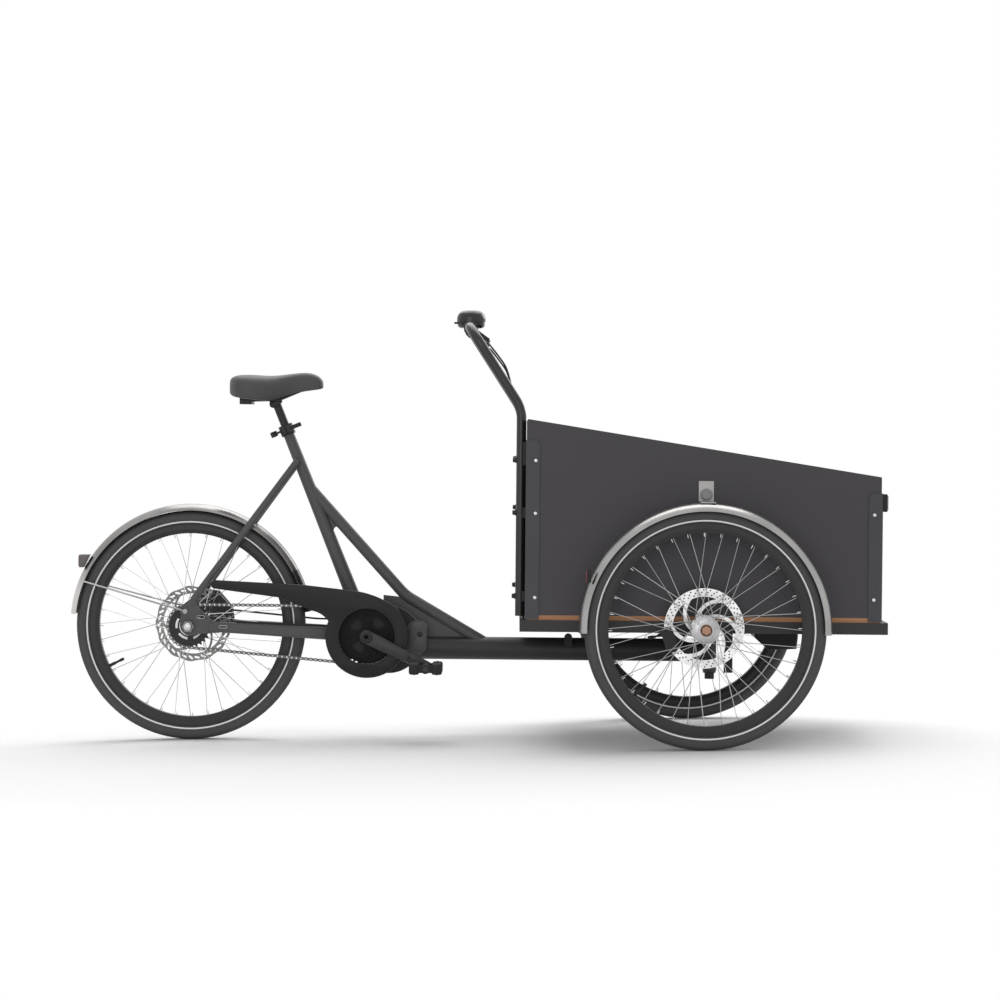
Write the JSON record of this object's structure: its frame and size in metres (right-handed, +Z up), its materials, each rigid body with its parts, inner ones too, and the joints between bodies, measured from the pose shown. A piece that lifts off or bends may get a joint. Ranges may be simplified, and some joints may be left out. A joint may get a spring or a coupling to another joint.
{
  "type": "cargo tricycle",
  "caption": "Pedal cargo tricycle with a tapered open box between two front wheels, box steering on a kingpin, mid motor and chain drive to the rear wheel.",
  "frame": {"origin": "on the ground under the middle of the bounding box", "axes": "+X forward towards the box, +Y to the rider's left, +Z up"},
  "size_m": [2.1226, 0.8828, 1.127],
  "materials": {
    "frame_paint": "satin anthracite",
    "black_parts": "satin black",
    "motor_black": "matt black",
    "guard_black": "matt black",
    "bright_steel": "bright",
    "polished_steel": "polished",
    "alloy_black": "satin black anodised",
    "tyre_rubber": "dark grey rubber",
    "soft_rubber": "matt rubber",
    "pedal_plastic": "black",
    "saddle_skin": "dark grey",
    "bell_paint": "black",
    "box_board": "anthracite coated board",
    "floor_ply": "brown film-faced plywood"
  },
  "bodies": {
    "frame": {"main_tube": "frame_paint", "head_tube": "frame_paint", "seat_tube": "frame_paint", "down_tube": "frame_paint", "frame_plates": "frame_paint", "seat_stays": "frame_paint", "chain_stays": "frame_paint", "dropouts": "frame_paint", "motor_housing": "motor_black", "chain_guard": "guard_black", "chain": "bright_steel", "seat_clamp": "black_parts", "rear_mudguard": "polished_steel", "rear_lamp": "guard_black", "rear_caliper": "motor_black", "rear_axle": "black_parts", "rear_hoses": "soft_rubber", "steering_stop": "soft_rubber"},
    "clamp_lever": {"seat_clamp_lever": "alloy_black"},
    "post": {"seat_post": "black_parts"},
    "saddle": {"saddle_cover": "saddle_skin", "saddle_frame": "black_parts"},
    "crank": {"crankset": "alloy_black", "chainring": "black_parts"},
    "right_pedal": {"pedal_right": "pedal_plastic"},
    "left_pedal": {"pedal_left": "pedal_plastic"},
    "sprocket": {"rear_sprocket": "bright_steel"},
    "rear_wheel": {"rear_tyre": "tyre_rubber", "rear_rim": "alloy_black", "rear_spokes": "bright_steel", "rear_hub": "alloy_black", "rear_rotor": "bright_steel"},
    "front": {"chassis_frame": "frame_paint", "kingpin": "bright_steel", "box_floor": "floor_ply", "box_sides": "box_board", "box_ends": "box_board", "corner_posts": "frame_paint", "handlebar": "black_parts", "handlebar_clamps": "bright_steel", "grips": "soft_rubber", "bell": "bell_paint", "brake_mounts": "black_parts", "front_mudguards": "polished_steel", "front_calipers": "motor_black", "front_hoses": "soft_rubber", "battery_case": "guard_black"},
    "front_left_wheel": {"front_left_tyre": "tyre_rubber", "front_left_rim": "alloy_black", "front_left_spokes": "bright_steel", "front_left_hub": "alloy_black", "front_left_rotor": "bright_steel"},
    "front_right_wheel": {"front_right_tyre": "tyre_rubber", "front_right_rim": "alloy_black", "front_right_spokes": "bright_steel", "front_right_hub": "alloy_black", "front_right_rotor": "bright_steel"},
    "bell_thumb": {"bell_lever": "alloy_black"},
    "left_lever": {"brake_lever_left": "alloy_black"},
    "right_lever": {"brake_lever_right": "alloy_black"}
  },
  "joints": [
    {"name": "steering", "type": "hinge", "parent": "frame", "child": "front", "pos_m": [0.63105, 0, 0.22042], "axis": [0.0201, 0, 0.9998], "range_deg": [-38, 38]},
    {"name": "rear_wheel_spin", "type": "hinge", "parent": "frame", "child": "rear_wheel", "pos_m": [-0.74216, 0, 0.3035], "axis": [0, 1, 0], "continuous": true},
    {"name": "front_left_wheel_spin", "type": "hinge", "parent": "front", "child": "front_left_wheel", "pos_m": [0.59384, 0.4, 0.3035], "axis": [0, 1, 0], "continuous": true},
    {"name": "front_right_wheel_spin", "type": "hinge", "parent": "front", "child": "front_right_wheel", "pos_m": [0.59384, -0.4, 0.3035], "axis": [0, 1, 0], "continuous": true},
    {"name": "crank_spin", "type": "hinge", "parent": "frame", "child": "crank", "pos_m": [-0.27269, 0, 0.27257], "axis": [0, 1, 0], "continuous": true, "deforming": ["chain"]},
    {"name": "right_pedal_spin", "type": "hinge", "parent": "crank", "child": "right_pedal", "pos_m": [-0.11628, -0.151, 0.19408], "axis": [0, 1, 0], "continuous": true},
    {"name": "left_pedal_spin", "type": "hinge", "parent": "crank", "child": "left_pedal", "pos_m": [-0.4291, 0.151, 0.35107], "axis": [0, 1, 0], "continuous": true},
    {"name": "sprocket_spin", "type": "hinge", "parent": "frame", "child": "sprocket", "pos_m": [-0.74216, 0, 0.3035], "axis": [0, 1, 0], "continuous": true},
    {"name": "seat_post_slide", "type": "slide", "parent": "frame", "child": "post", "axis": [-0.3567, 0, 0.9342], "range_m": [-0.04, 0.1]},
    {"name": "saddle_tilt", "type": "hinge", "parent": "post", "child": "saddle", "pos_m": [-0.51646, 0, 0.88459], "axis": [0, 1, 0], "range_deg": [-10, 10]},
    {"name": "clamp_lever_swing", "type": "hinge", "parent": "frame", "child": "clamp_lever", "pos_m": [-0.51353, -0.024, 0.80558], "axis": [-0.3567, 0, 0.9342], "range_deg": [0, 120]},
    {"name": "bell_lever_swing", "type": "hinge", "parent": "front", "child": "bell_thumb", "pos_m": [0.00982, 0, 1.09257], "axis": [0.0201, 0, 0.9998], "range_deg": [0, 20], "stiffness_Nm_per_rad": 0.2},
    {"name": "left_brake_lever", "type": "hinge", "parent": "front", "child": "left_lever", "pos_m": [0.04773, 0.074, 1.04608], "axis": [0.6039, 0, 0.7971], "range_deg": [0, 15], "stiffness_Nm_per_rad": 4},
    {"name": "right_brake_lever", "type": "hinge", "parent": "front", "child": "right_lever", "pos_m": [0.04773, -0.074, 1.04608], "axis": [-0.6039, 0, -0.7971], "range_deg": [0, 15], "stiffness_Nm_per_rad": 4}
  ],
  "couplings": [
    {"joint": "sprocket_spin", "follows": "crank_spin", "ratio": 1.3571}
  ]
}
